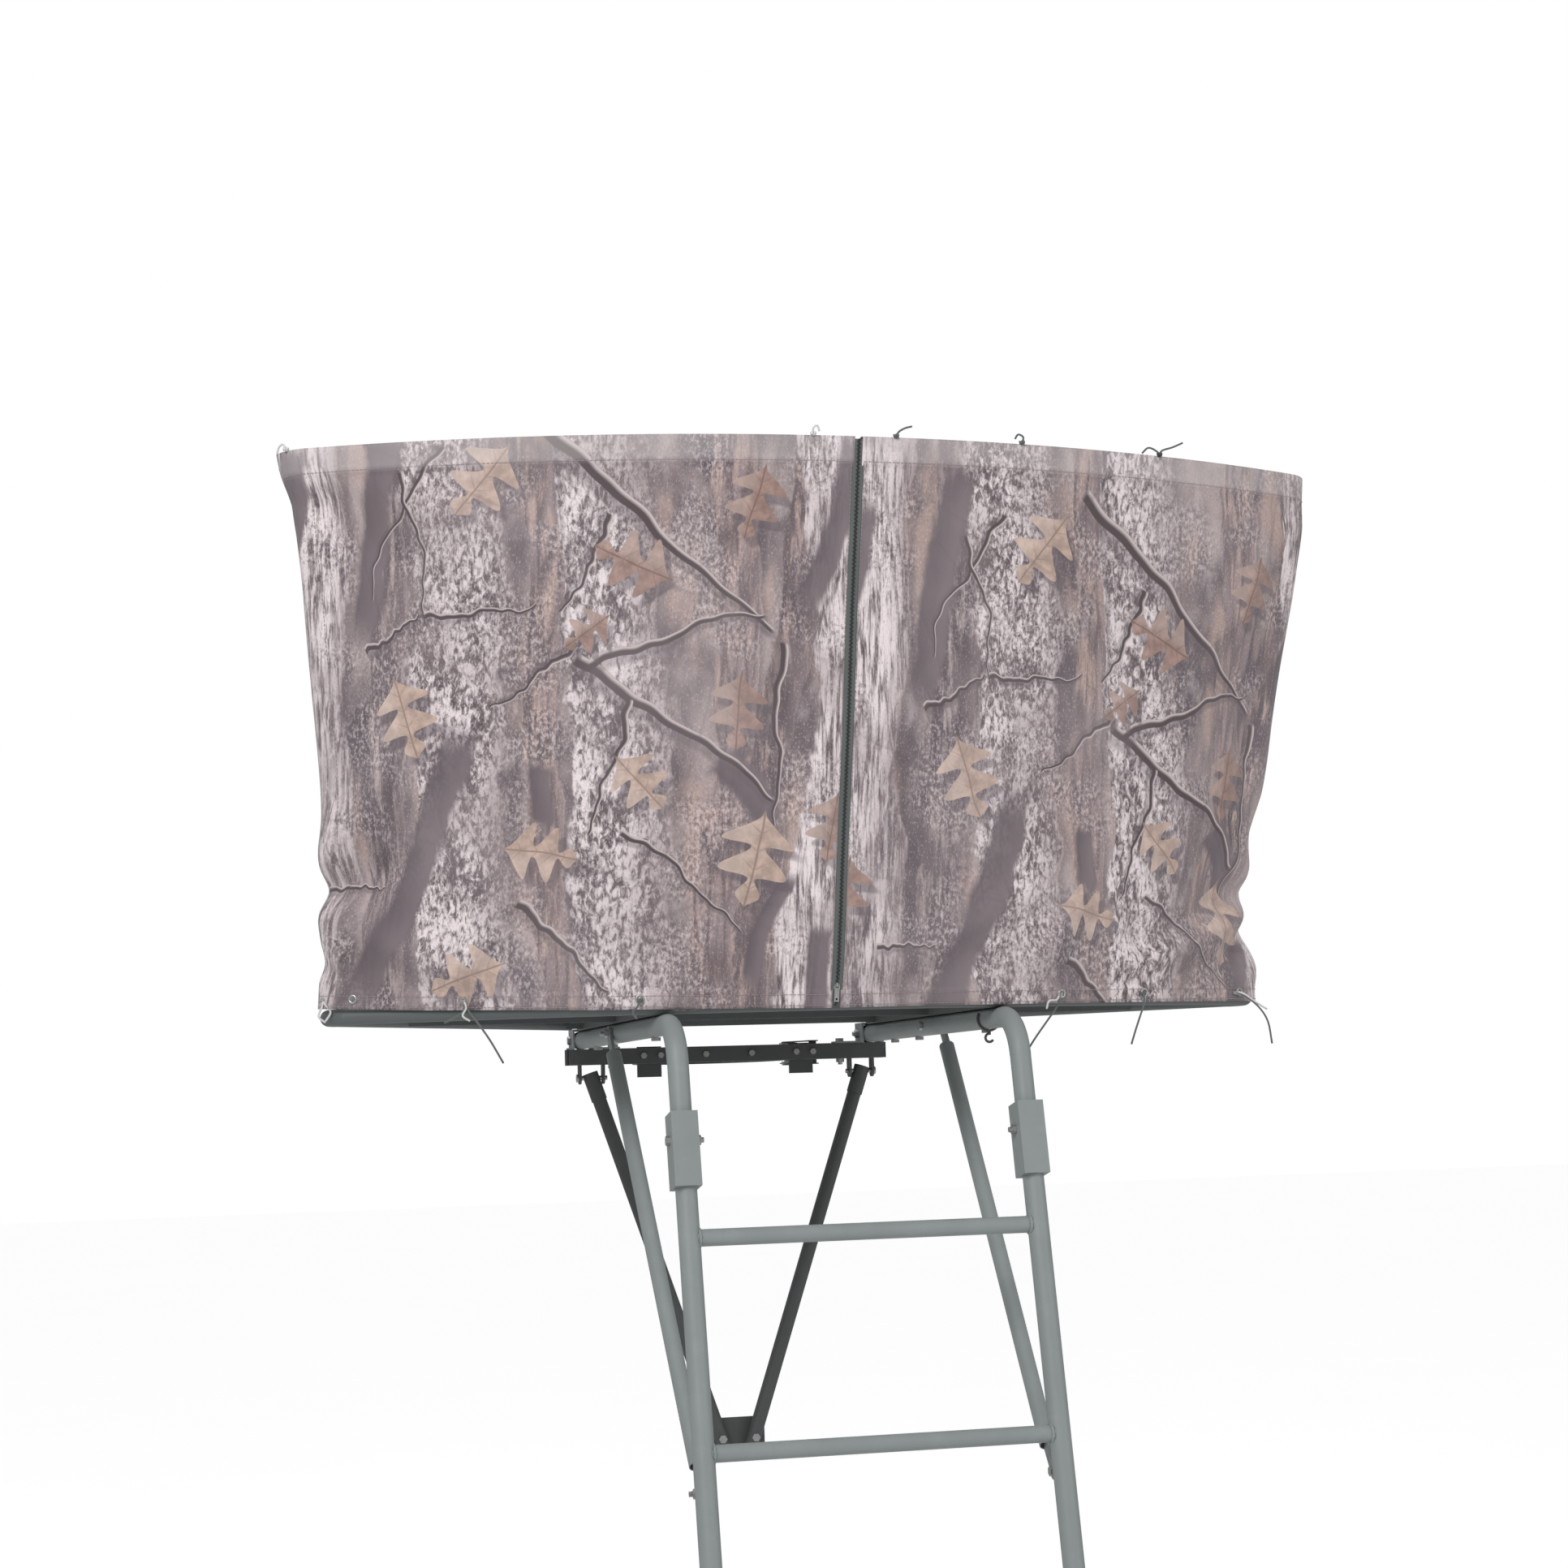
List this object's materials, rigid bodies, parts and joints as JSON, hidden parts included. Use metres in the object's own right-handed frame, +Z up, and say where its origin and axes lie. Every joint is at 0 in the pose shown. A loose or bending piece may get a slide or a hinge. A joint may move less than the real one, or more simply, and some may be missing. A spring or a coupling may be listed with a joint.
{
  "type": "ladder tree stand",
  "caption": "Raised hunting platform on a leaning ladder, with a flip-up shooting rail, a zipped camouflage skirt, a seat, a folding V-brace and a tree strap.",
  "frame": {"origin": "on the ground, midway between the feet of the ladder, in the plane of the foot plate's underside", "axes": "+X to the right seen from the front, +Y towards the tree, +Z up"},
  "size_m": [1.6642, 1.6585, 3.0972],
  "materials": {
    "ladder_steel": "satin powder coat",
    "frame_steel": "satin powder coat",
    "dark_steel": "satin powder coat",
    "zinc": "zinc plated",
    "black_plastic": "matte",
    "nylon": "matte",
    "webbing": "woven",
    "cloth": "woven, printed",
    "cord": "braided",
    "pad": "woven over foam",
    "foam": "closed-cell foam",
    "zip_tape": "woven tape"
  },
  "bodies": {
    "stand": {"foot_bar": "frame_steel", "foot_bolts": "zinc", "ladder_lower": "ladder_steel", "ladder_upper": "ladder_steel", "arm_left": "ladder_steel", "arm_right": "ladder_steel", "section_bolts": "zinc", "platform_frame": "frame_steel", "platform_deck": "frame_steel", "platform_bolts": "zinc", "brace_left": "ladder_steel", "brace_right": "ladder_steel", "brace_bolts": "zinc", "crossbar": "dark_steel", "tube_caps": "black_plastic", "saddle_left": "ladder_steel", "saddle_right": "ladder_steel", "saddle_bolts": "zinc", "tree_plate": "dark_steel", "strap_bracket_left": "dark_steel", "strap_bracket_right": "dark_steel", "bracket_screws": "zinc", "v_pins": "zinc", "back_frame": "frame_steel", "post_screws": "zinc", "seat_bearings": "nylon", "backrest": "pad", "rail_bolts": "zinc", "rail_washers": "nylon", "gear_hook": "dark_steel", "tree_strap": "webbing", "short_strap": "webbing", "ratchet_frame": "zinc"},
    "v_brace": {"v_tube_left": "dark_steel", "v_tube_right": "dark_steel", "v_collars": "dark_steel", "v_foot": "dark_steel", "v_foot_bolts": "zinc"},
    "seat": {"seat_frame": "frame_steel", "seat_panel": "frame_steel", "seat_cushion": "pad"},
    "rail": {"shooting_rail": "frame_steel", "rail_caps": "black_plastic", "arm_pad_left": "foam", "arm_pad_right": "foam", "skirt_left": "cloth", "skirt_right": "cloth", "zipper_tape": "zip_tape", "grommets": "zinc", "ties_top": "cord", "ties_bottom": "cord"},
    "slider": {"zipper_slider": "zinc"},
    "pull": {"zipper_pull": "zinc"},
    "spool": {"ratchet_spool": "zinc"},
    "handle": {"ratchet_handle": "dark_steel"},
    "stabilizer": {"stabilizer_outer": "frame_steel"},
    "stabilizer_rod": {"stabilizer_inner": "ladder_steel", "stabilizer_yoke": "dark_steel"},
    "knob": {"stabilizer_knob": "black_plastic"}
  },
  "joints": [
    {"name": "v_brace_fold", "type": "hinge", "parent": "stand", "child": "v_brace", "pos_m": [0, 1.3097, 2.142], "axis": [-1, 0, 0], "range_deg": [-12, 80]},
    {"name": "seat_flip", "type": "hinge", "parent": "stand", "child": "seat", "pos_m": [0, 1.1637, 2.66], "axis": [-1, 0, 0], "range_deg": [0, 80]},
    {"name": "rail_flip", "type": "hinge", "parent": "stand", "child": "rail", "pos_m": [0, 1.2517, 3.0655], "axis": [-1, 0, 0], "range_deg": [0, 90]},
    {"name": "zipper_slide", "type": "slide", "parent": "rail", "child": "slider", "axis": [0.0329, -0.1647, 0.9858], "range_m": [0, 0.798]},
    {"name": "pull_swing", "type": "hinge", "parent": "slider", "child": "pull", "pos_m": [-0.00709, 0.48215, 2.26274], "axis": [-0.9995, -0.0054, 0.0325], "range_deg": [0, 120]},
    {"name": "spool_turn", "type": "hinge", "parent": "stand", "child": "spool", "pos_m": [0.143, 1.4317, 2.179], "axis": [0, 0, 1], "continuous": true},
    {"name": "handle_swing", "type": "hinge", "parent": "stand", "child": "handle", "pos_m": [0.143, 1.4317, 2.179], "axis": [0, 0, 1], "range_deg": [0, 110]},
    {"name": "stabilizer_tilt", "type": "hinge", "parent": "stand", "child": "stabilizer", "pos_m": [0, 0.20349, 1.00019], "axis": [1, 0, 0], "range_deg": [-50, 20]},
    {"name": "stabilizer_slide", "type": "slide", "parent": "stabilizer", "child": "stabilizer_rod", "axis": [0, 1, 0], "range_m": [-0.2, 0.12]},
    {"name": "knob_turn", "type": "hinge", "parent": "stabilizer", "child": "knob", "pos_m": [0, 0.88849, 1.00019], "axis": [0, 0, 1], "continuous": true}
  ]
}
